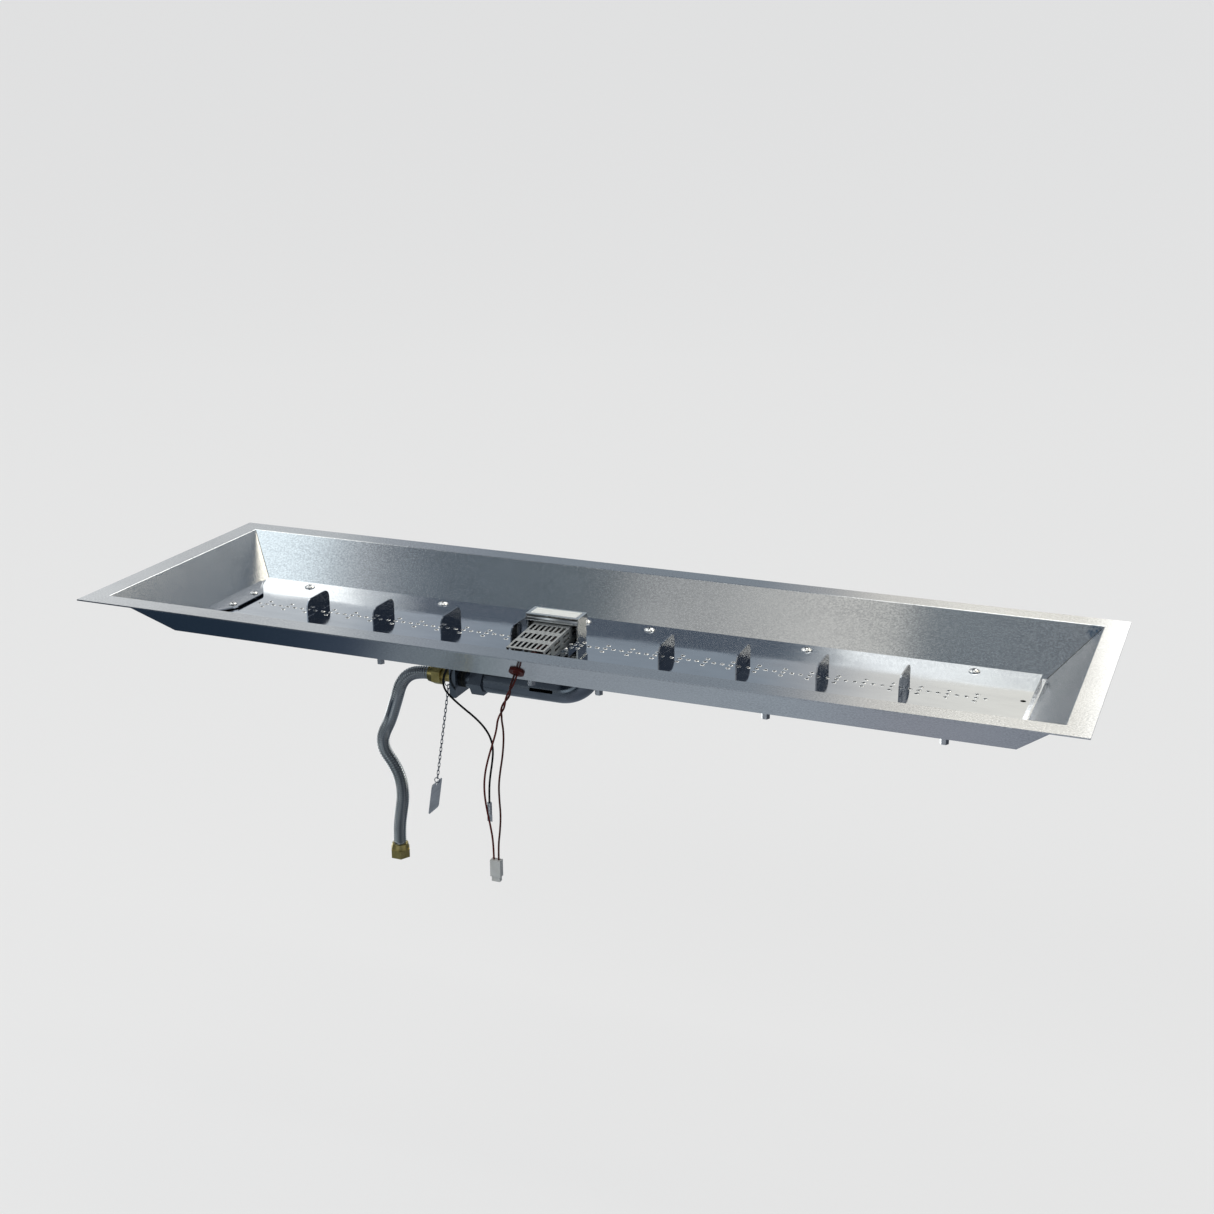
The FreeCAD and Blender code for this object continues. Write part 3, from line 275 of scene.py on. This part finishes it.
class Finish:
    """A material under construction: one Principled shader and the nodes that drive it."""

    def __init__(self, name, colour, metallic=0.0, roughness=0.5, **sockets):
        self.material = bpy.data.materials.new(name)
        self.material.use_nodes = True
        self.tree = self.material.node_tree
        self.shader = self.tree.nodes["Principled BSDF"]
        self.colour = colour
        self.shader.inputs["Base Color"].default_value = (*colour, 1)
        self.shader.inputs["Metallic"].default_value = metallic
        self.shader.inputs["Roughness"].default_value = roughness
        for socket, value in sockets.items():
            self.shader.inputs[socket.replace("_", " ")].default_value = value
        self.place = self.node("ShaderNodeTexCoord").outputs["Object"]

    def node(self, kind, **inputs):
        made = self.tree.nodes.new(kind)
        for name, value in inputs.items():
            self.feed(made.inputs[name.replace("_", " ")], value)
        return made

    def feed(self, socket, value):
        if isinstance(value, bpy.types.NodeSocket):
            self.tree.links.new(value, socket)
        else:
            socket.default_value = value

    def noise(self, scale, stretch=(1, 1, 1), detail=3.0, sharp=0.5):
        """Noise over the part, its grain stretched where a factor is under 1."""
        mapping = self.node("ShaderNodeMapping", Vector=self.place)
        mapping.inputs["Scale"].default_value = stretch
        made = self.node("ShaderNodeTexNoise", Vector=mapping.outputs["Vector"], Scale=scale,
                         Detail=detail, Roughness=sharp)
        return made.outputs["Fac"]

    def span(self, value, low, high, start=0.3, end=0.7):
        """Map a value from start..end to low..high."""
        made = self.node("ShaderNodeMapRange", Value=value)
        made.inputs["From Min"].default_value = start
        made.inputs["From Max"].default_value = end
        made.inputs["To Min"].default_value = low
        made.inputs["To Max"].default_value = high
        return made.outputs["Result"]

    def times(self, first, second):
        made = self.node("ShaderNodeMath")
        made.operation = "MULTIPLY"
        self.feed(made.inputs[0], first)
        self.feed(made.inputs[1], second)
        return made.outputs[0]

    def tint(self, amount, other):
        """Blend the base colour towards another by an amount."""
        made = self.node("ShaderNodeMix")
        made.data_type = "RGBA"
        self.feed(made.inputs[0], amount)
        made.inputs[6].default_value = (*self.colour, 1)
        made.inputs[7].default_value = (*other, 1)
        self.tree.links.new(made.outputs[2], self.shader.inputs["Base Color"])
        return made

    def stain(self, under, centre, reach, other):
        """A ragged stain about a point, laid over a tint."""
        away = self.node("ShaderNodeVectorMath")
        away.operation = "DISTANCE"
        self.tree.links.new(self.place, away.inputs[0])
        away.inputs[1].default_value = centre
        near = self.span(away.outputs["Value"], 1.0, 0.0, 0.35 * reach, reach)
        self.over(under, self.times(near, self.span(self.noise(320), 0.2, 1.0, 0.35, 0.6)), other)

    def over(self, under, amount, other):
        """Lay a colour over an earlier tint by an amount."""
        made = self.node("ShaderNodeMix")
        made.data_type = "RGBA"
        self.feed(made.inputs[0], amount)
        self.tree.links.new(under.outputs[2], made.inputs[6])
        made.inputs[7].default_value = (*other, 1)
        self.tree.links.new(made.outputs[2], self.shader.inputs["Base Color"])

    def rough(self, value):
        self.feed(self.shader.inputs["Roughness"], value)

    def bump(self, value, strength, distance):
        made = self.node("ShaderNodeBump", Height=value)
        made.inputs["Strength"].default_value = strength
        made.inputs["Distance"].default_value = distance
        self.tree.links.new(made.outputs["Normal"], self.shader.inputs["Normal"])

    def grain_along_x(self):
        """Grain along X smears what the metal mirrors across X."""
        across = self.node("ShaderNodeCombineXYZ", X=0.0, Y=1.0, Z=0.0)
        self.tree.links.new(across.outputs[0], self.shader.inputs["Tangent"])


def satin_steel():
    steel = Finish("satin_steel", (0.66, 0.67, 0.685), 1.0, 0.14, Anisotropic=1.0)
    steel.grain_along_x()
    streaks = steel.noise(620, (0.7, 1, 1), 3, 0.6)
    smudges = steel.noise(7, (1, 1.6, 1.6), 3)
    speckle = steel.noise(1500, (0.35, 1, 1), 2)
    wear = steel.times(steel.span(smudges, 0.35, 1.0), steel.span(streaks, 0.0, 1.0, 0.38, 0.62))
    worn = steel.tint(wear, (0.44, 0.45, 0.47))
    # welding's heat has blued the far right corner
    steel.stain(worn, (0.531, 0.146, -0.004), 0.011, (0.08, 0.16, 0.26))
    steel.rough(steel.span(speckle, 0.12, 0.16))
    steel.bump(streaks, 0.05, 0.0002)
    return steel.material


def mirror_steel(name, colour, worn):
    steel = Finish(name, colour, 1.0, 0.07)
    waves = steel.noise(9, (1, 1, 1), 1)
    haze = steel.noise(60, (0.4, 1, 1), 4)
    steel.tint(steel.span(haze, 0.0, 0.5), worn)
    steel.rough(steel.span(haze, 0.05, 0.13))
    steel.bump(waves, 0.25, 0.004)
    return steel.material


def galvanised_steel():
    steel = Finish("galvanised_steel", (0.18, 0.20, 0.23), 1.0, 0.18)
    patches = steel.noise(90, (0.3, 1, 1), detail=3)
    grime = steel.noise(28, detail=5, sharp=0.65)
    steel.tint(steel.times(steel.span(patches, 0.1, 0.9), steel.span(grime, 0.2, 1.0)),
               (0.11, 0.125, 0.145))
    steel.rough(steel.span(patches, 0.14, 0.24))
    steel.bump(patches, 0.15, 0.0003)
    return steel.material


def cage_steel():
    """Dull light grey outside; inside the cage and down in its slots, the faces that do not face up
    are darkened almost to black as painted shade.
    """
    steel = Finish("cage_steel", (0.42, 0.43, 0.43), 0.35, 0.55)
    dust = steel.noise(260, detail=4)
    worn = steel.tint(steel.span(dust, 0.0, 0.8), (0.30, 0.31, 0.31))
    across = steel.node("ShaderNodeSeparateXYZ", Vector=steel.place).outputs["X"]
    facing = steel.node("ShaderNodeTexCoord").outputs["Normal"]
    upward = steel.node("ShaderNodeSeparateXYZ", Vector=facing).outputs["Z"]
    middle = (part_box("igniter_cage")[0].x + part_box("igniter_cage")[1].x) / 2
    half = (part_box("igniter_cage")[1].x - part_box("igniter_cage")[0].x) / 2 - 0.0005
    inside = steel.times(steel.span(across, 0.0, 1.0, middle - half, middle - half + 0.0002),
                         steel.span(across, 1.0, 0.0, middle + half - 0.0002, middle + half))
    # painted shade: faces within the cage's ends that don't face up are painted near black
    hidden = steel.times(inside, steel.span(upward, 1.0, 0.0, 0.6, 0.8))
    steel.over(worn, hidden, (0.02, 0.02, 0.022))
    steel.bump(dust, 0.15, 0.0002)
    return steel.material


def fastener_steel(name, colour, worn):
    steel = Finish(name, colour, 1.0, 0.25)
    wear = steel.noise(500, detail=3)
    steel.tint(steel.span(wear, 0.0, 0.8), worn)
    steel.rough(steel.span(wear, 0.16, 0.38))
    return steel.material


def hose_steel():
    steel = Finish("hose_steel", (0.46, 0.48, 0.49), 1.0, 0.10)
    grime = steel.noise(60, (1, 1, 0.4), detail=4)
    steel.tint(steel.span(grime, 0.0, 0.7), (0.24, 0.26, 0.27))
    steel.rough(steel.span(grime, 0.07, 0.16))
    return steel.material


def brass():
    metal = Finish("brass", (0.62, 0.50, 0.20), 1.0, 0.26)
    stain = metal.noise(160, detail=4)
    turned = metal.noise(2200, (1, 0.08, 0.08), 2)
    # painted shade: the hexagon behind the bracket is painted darker than the nuts in front of it, as
    # the bracket's shadow
    across = metal.node("ShaderNodeSeparateXYZ", Vector=metal.place).outputs["X"]
    behind = metal.span(across, 0.0, 1.0, -0.1625, -0.1610)
    worn = metal.tint(metal.span(stain, 0.0, 0.8), (0.36, 0.29, 0.10))
    metal.over(worn, behind, (0.10, 0.10, 0.09))
    metal.rough(metal.span(stain, 0.24, 0.42))
    metal.bump(turned, 0.08, 0.0001)
    return metal.material


def ceramic():
    fired = Finish("ceramic", (0.84, 0.81, 0.75), 0.0, 0.75)
    pores = fired.noise(900, detail=3)
    fired.tint(fired.span(fired.noise(60), 0.0, 0.6), (0.66, 0.62, 0.55))
    fired.bump(pores, 0.2, 0.0002)
    return fired.material


def carbide():
    black = Finish("carbide", (0.06, 0.058, 0.055), 0.0, 0.85)
    grit = black.noise(1600, detail=3)
    black.tint(black.span(grit, 0.0, 0.8), (0.13, 0.125, 0.12))
    black.bump(grit, 0.4, 0.0002)
    return black.material


def blank_label():
    foil = Finish("blank_label", (0.95, 0.95, 0.92), 0.0, 0.38)
    scuffs = foil.noise(220, (0.5, 1, 1), 5)
    foil.tint(foil.span(scuffs, 0.0, 0.6, 0.5, 0.8), (0.72, 0.71, 0.66))
    foil.rough(foil.span(scuffs, 0.30, 0.50))
    return foil.material


def insulation(name, colour, worn, roughness):
    rubber = Finish(name, colour, 0.0, roughness, **{"Specular IOR Level": 0.2})
    dust = rubber.noise(240, detail=4)
    rubber.tint(rubber.span(dust, 0.0, 0.7), worn)
    rubber.rough(rubber.span(dust, roughness - 0.08, roughness + 0.12))
    rubber.bump(rubber.noise(1800, detail=2), 0.12, 0.0001)
    return rubber.material


def connector_plastic():
    nylon = Finish("connector_plastic", (0.78, 0.77, 0.73), 0.0, 0.45)
    nylon.tint(nylon.span(nylon.noise(120), 0.0, 0.6), (0.66, 0.64, 0.58))
    nylon.bump(nylon.noise(1400, detail=2), 0.1, 0.0001)
    return nylon.material


def tag_aluminium():
    plate = Finish("tag_aluminium", (0.70, 0.71, 0.72), 1.0, 0.35)
    scratches = plate.noise(900, (1, 0.05, 1), 4)
    plate.tint(plate.span(scratches, 0.0, 0.7), (0.50, 0.51, 0.52))
    plate.rough(plate.span(scratches, 0.26, 0.46))
    return plate.material


MATERIALS = {
    "satin_steel": satin_steel(),
    "mirror_steel": mirror_steel("mirror_steel", (0.64, 0.67, 0.71), (0.52, 0.54, 0.58)),
    "galvanised_steel": galvanised_steel(),
    "cage_steel": cage_steel(),
    "zinc_screw": fastener_steel("zinc_screw", (0.70, 0.71, 0.72), (0.42, 0.42, 0.43)),
    "hose_steel": hose_steel(),
    "brass": brass(),
    "ceramic": ceramic(),
    "igniter_black": carbide(),
    "blank_label": blank_label(),
    "red_silicone": insulation("red_silicone", (0.16, 0.026, 0.020), (0.09, 0.018, 0.015), 0.46),
    "brown_silicone": insulation("brown_silicone", (0.10, 0.026, 0.020), (0.06, 0.016, 0.013), 0.48),
    "black_rubber": insulation("black_rubber", (0.004, 0.004, 0.005), (0.010, 0.010, 0.011), 0.60),
    "connector_plastic": connector_plastic(),
    "tag_aluminium": tag_aluminium(),
    "chain_steel": fastener_steel("chain_steel", (0.24, 0.27, 0.32), (0.07, 0.09, 0.12)),
}


# Copies of the mirror steel: a darker one as painted shade on the flame fins and end cover, a brighter
# one as painted light on the pilot hood and its cap
SHADED_MIRROR = mirror_steel("shaded_mirror", (0.34, 0.36, 0.40), (0.26, 0.28, 0.31))
LIT_SHEET = mirror_steel("lit_sheet", (0.94, 0.93, 0.90), (0.84, 0.84, 0.83))
LIT_AND_SHADED_COPIES = {f"flame_fin_{k}": SHADED_MIRROR for k in range(1, 9)}
LIT_AND_SHADED_COPIES |= {"end_cover": SHADED_MIRROR, "pilot_hood": LIT_SHEET, "hood_cap": LIT_SHEET}


def paint_cad_nodes():
    for entry in frame["record"]["subparts"]:
        name = entry["node"]
        data = nodes[name].data
        data.materials.clear()
        data.materials.append(LIT_AND_SHADED_COPIES.get(name, MATERIALS[entry["material_slot"]]))


# ---- pieces that stand in for plain CAD solids ------------------------------------------------------

def metres(route):
    return [Vector(point) * MM for point in route]


def spline_object(name, route, radius):
    """A smooth cord: a NURBS spline with the route's points as its control points."""
    data = bpy.data.curves.new(name, "CURVE")
    data.dimensions = "3D"
    spline = data.splines.new("NURBS")
    points = metres(route)
    spline.points.add(len(points) - 1)
    for slot, point in zip(spline.points, points):
        slot.co = (*point, 1)
    spline.order_u = 3
    spline.use_endpoint_u = True
    spline.resolution_u = 12
    data.bevel_depth = radius
    data.bevel_resolution = 5
    data.use_fill_caps = True
    made = bpy.data.objects.new(name, data)
    scene.collection.objects.link(made)
    return made


def spline_points(route, fine):
    """Points along the route's smooth line."""
    guide = spline_object("guide", route, 0)
    guide.data.splines[0].resolution_u = fine
    bpy.context.view_layer.update()
    flat = bpy.data.meshes.new_from_object(guide.evaluated_get(bpy.context.evaluated_depsgraph_get()))
    points = [vertex.co.copy() for vertex in flat.vertices]
    bpy.data.meshes.remove(flat)
    bpy.data.objects.remove(guide)
    return points


def line_length(points):
    return sum((b - a).length for a, b in zip(points, points[1:]))


def ringed_tube(name, points, radius_at, step, sides=28):
    """A tube along points whose radius follows the distance along it."""
    total = line_length(points)
    count = round(total / step)
    spots = []
    walked = 0.0
    index = 0
    for k in range(count + 1):
        want = min(total * k / count, total - 1e-9)
        while walked + (points[index + 1] - points[index]).length < want:
            walked += (points[index + 1] - points[index]).length
            index += 1
        leg = points[index + 1] - points[index]
        spots.append((points[index] + leg.normalized() * (want - walked), want))
    mesh = bmesh.new()
    side = Vector((0, 1, 0))
    rings = []
    for k, (spot, along) in enumerate(spots):
        ahead = spots[min(k + 1, count)][0] - spots[max(k - 1, 0)][0]
        ahead.normalize()
        side = (side - ahead * side.dot(ahead)).normalized()
        up = ahead.cross(side)
        radius = radius_at(along, total)
        ring = [spot + (side * math.cos(a) + up * math.sin(a)) * radius for a in turns(sides)]
        rings.append([mesh.verts.new(point) for point in ring])
    for low, high in zip(rings, rings[1:]):
        for j in range(sides):
            mesh.faces.new((low[j], low[(j + 1) % sides], high[(j + 1) % sides], high[j]))
    mesh.faces.new(list(reversed(rings[0])))
    mesh.faces.new(rings[-1])
    bmesh.ops.recalc_face_normals(mesh, faces=mesh.faces)
    return mesh_object(name, mesh)


def finish_piece(piece, slot):
    piece.data.materials.append(MATERIALS[slot])
    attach(piece, "pan_assembly")


HOSE_ROUTE = [
    (-206, 0, -101), (-226, 0, -101), (-246, 0, -115), (-256, 1, -145), (-265, 1, -171),
    (-276, 0, -192), (-274, -1, -209), (-262, -1, -224), (-253, 0, -243), (-251, 1, -266),
    (-255, 1, -289), (-258, 0, -311), (-258, 0, -332),
]
RED_ROUTE = [
    (-37.7, -119.85, -38.83), (-37.7, -124.8, -43.78), (-40.6, -125.7, -50.5), (-45.3, -126.1, -57.5),
    (-47.7, -128.5, -64.5), (-48.9, -128.2, -71.3), (-51.6, -125.3, -78.0), (-56.2, -126.2, -85.0),
    (-58.6, -127.6, -92.2), (-59.8, -127.2, -100.5), (-62.6, -126.6, -111.0), (-66.8, -126.2, -123.5),
    (-72.0, -126.0, -140.0), (-76.8, -125.0, -158.0), (-79.0, -124.0, -178.0), (-77.2, -123.0, -200.0),
    (-72.8, -123.0, -221.0), (-69.5, -123.0, -242.0), (-69.5, -123.0, -262.0),
]
BROWN_ROUTE = [
    (-40.7, -119.85, -38.83), (-40.7, -124.8, -43.78), (-42.4, -128.8, -50.5), (-42.2, -128.0, -57.5),
    (-45.7, -125.5, -64.5), (-51.7, -125.9, -71.0), (-53.8, -128.7, -78.0), (-53.2, -128.0, -85.2),
    (-54.0, -126.4, -92.2), (-52.8, -126.0, -100.5), (-52.3, -126.2, -110.8), (-53.0, -126.2, -122.5),
    (-54.7, -126.0, -136.5), (-57.5, -126.0, -152.0), (-60.0, -125.5, -169.0), (-60.2, -124.5, -187.0),
    (-59.4, -123.5, -206.0), (-61.0, -123.0, -226.0), (-63.5, -123.0, -244.0), (-63.5, -123.0, -262.0),
]
SENSOR_ROUTE = [
    (-160.0, -44.0, -54.0), (-160.0, -44.0, -62.0), (-162.5, -40.0, -73.0), (-168.5, -36.0, -82.5),
    (-173.0, -34.5, -94.0), (-171.0, -34.0, -105.5), (-161.5, -34.0, -114.5), (-148.5, -34.0, -124.0),
    (-134.5, -34.0, -133.0), (-122.0, -34.0, -143.5), (-113.5, -34.0, -156.0), (-110.5, -34.0, -170.0),
    (-112.0, -34.0, -186.0), (-115.0, -34.0, -203.0), (-117.2, -34.0, -221.0), (-117.2, -34.0, -239.0),
]
HOSE_DIAMETER = 15.9 * MM
LEAD_DIAMETER = 2.2 * MM
SENSOR_LEAD_DIAMETER = 2.4 * MM


def corrugated_hose():
    crest = HOSE_DIAMETER / 2
    deepest = 1.4 * MM
    pitch = 3.0 * MM
    plain = 3.0 * MM
    smoothest = 82 * MM
    smooth_run = 45 * MM

    def radius_at(along, total):
        """Corrugated near both ends; the stretch that is bent by hand is nearly smooth."""
        edge = min(along, total - along)
        if edge < plain:
            return crest - 0.1 * MM
        depth = deepest * min(1, max(0.12, abs(along - smoothest) / smooth_run - 0.1))
        wave = 0.5 + 0.5 * math.cos(2 * math.pi * (along - plain) / pitch)
        return crest - depth * (1 - wave ** 0.6)

    points = spline_points(HOSE_ROUTE, 40)
    piece = ringed_tube("corrugated_hose", points, radius_at, pitch / 10, 36)
    finish_piece(piece, "hose_steel")
    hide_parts("gas_hose")


def lead(name, node, route, diameter, slot):
    points = spline_points(route, 12)
    piece = spline_object(name, route, diameter / 2)
    finish_piece(piece, slot)
    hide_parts(node)


def thread_ridges():
    """The brass fitting's thread between its flare nut and its locknut."""
    low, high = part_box("inlet_fitting")
    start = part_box("hose_nut_top")[1].x
    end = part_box("inlet_locknut")[0].x
    axis_z = (low.z + high.z) / 2
    plain_radius = 7.3 * MM
    crest = plain_radius + 0.35 * MM
    root = plain_radius + 0.02 * MM
    pitch = 1.4 * MM
    points = [Vector((start, 0, axis_z)), Vector((end, 0, axis_z))]

    def radius_at(along, total):
        wave = abs(2 * ((along / pitch) % 1.0) - 1)
        return root + (crest - root) * wave

    piece = ringed_tube("inlet_thread", points, radius_at, pitch / 6, 48)
    finish_piece(piece, "brass")


def rings_mesh(name, centres, profile, sides=20):
    """One small turned lip, its profile given as radius and height, round each centre."""
    mesh = bmesh.new()
    for centre in centres:
        loops = []
        for radius, rise in profile:
            loop = [Vector((radius * math.cos(a), radius * math.sin(a), rise)) for a in turns(sides)]
            loops.append([mesh.verts.new(centre + spoke) for spoke in loop])
        for outer, inner in zip(loops, loops[1:]):
            for k in range(sides):
                mesh.faces.new((outer[k], outer[(k + 1) % sides], inner[(k + 1) % sides], inner[k]))
    return mesh_object(name, mesh)


def port_lips():
    """The small raised lip that punching leaves round every gas port."""
    pitch = 9.878
    phase = 6.1
    side_offset = 10.0
    hood = -51.15
    hidden = 34.65
    first, last = -45, 44
    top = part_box("burner_plate")[1].z
    centres = []
    for k in range(first, last + 1):
        x = phase + k * pitch
        if abs(x - hood) < hidden:
            continue
        # every third port has one more on each side
        for side in ((-1, 0, 1) if k % 3 == 1 else (0,)):
            centres.append(Vector((x * MM, side * side_offset * MM, top)))
    profile = [(2.85, -0.02), (2.6, 0.16), (2.3, 0.36), (2.05, 0.42), (1.86, 0.26), (1.80, -0.5)]
    piece = rings_mesh("port_lips", centres, [(radius * MM, rise * MM) for radius, rise in profile])
    finish_piece(piece, "zinc_screw")


def rods(name, legs, radius, slot, sides=8):
    """Straight rods, each given by its two ends, as one piece."""
    mesh = bmesh.new()
    for start, end in legs:
        along = (end - start).normalized()
        first = along.orthogonal().normalized()
        second = along.cross(first)
        ring = [(first * math.cos(a) + second * math.sin(a)) * radius for a in turns(sides)]
        near = [mesh.verts.new(start + spoke) for spoke in ring]
        far = [mesh.verts.new(end + spoke) for spoke in ring]
        for k in range(sides):
            mesh.faces.new((near[k], near[(k + 1) % sides], far[(k + 1) % sides], far[k]))
        mesh.faces.new(list(reversed(near)))
        mesh.faces.new(far)
    bmesh.ops.recalc_face_normals(mesh, faces=mesh.faces)
    finish_piece(mesh_object(name, mesh), slot)


def corner_seams():
    """The welded seams at the four inner corners of the pan."""
    mouth_x, mouth_y, depth, sheet = 539.6, 152.4, 50.8, 1.5
    upper, lower = 1.2, depth - 0.3
    seams = []
    for side, end in ((-1, -1), (1, -1), (1, 1), (-1, 1)):
        spots = [Vector((side * (mouth_x - down), end * (mouth_y - down), sheet - down))
                 for down in (upper, lower)]
        seams.append([spot * MM for spot in spots])
    rods("corner_seams", seams, 0.38 * MM, "igniter_black")


def hood_front():
    """The rolled bar across the hood's front, and a black rod under the cap's edge as a painted shadow
    line between it and the cap.
    """
    low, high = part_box("hood_cap")
    shadow_line_radius = 0.55 * MM
    roll_radius = 2.6 * MM
    shadow_line_depth = 1.6 * MM
    roll_depth = 2.2 * MM + roll_radius
    ends = (low.x + 1.2 * MM, high.x - 1.2 * MM)
    # painted shadow: a thin black rod along the cap's front edge
    shadow_line = [Vector((x, low.y + 0.4 * MM, high.z - shadow_line_depth)) for x in ends]
    roll = [Vector((x, low.y + 1.6 * MM, high.z - roll_depth)) for x in ends]
    rods("cap_shadow_line", [shadow_line], shadow_line_radius, "igniter_black")
    rods("hood_roll", [roll], roll_radius, "tag_aluminium", 28)


add_camera()
corrugated_hose()
lead("lead_red", "igniter_lead_red", RED_ROUTE, LEAD_DIAMETER, "red_silicone")
lead("lead_brown", "igniter_lead_brown", BROWN_ROUTE, LEAD_DIAMETER, "brown_silicone")
lead("lead_black", "sensor_lead", SENSOR_ROUTE, SENSOR_LEAD_DIAMETER, "black_rubber")
thread_ridges()
port_lips()
corner_seams()
hood_front()
paint_cad_nodes()
add_studio()

scene.view_settings.view_transform = "Standard"
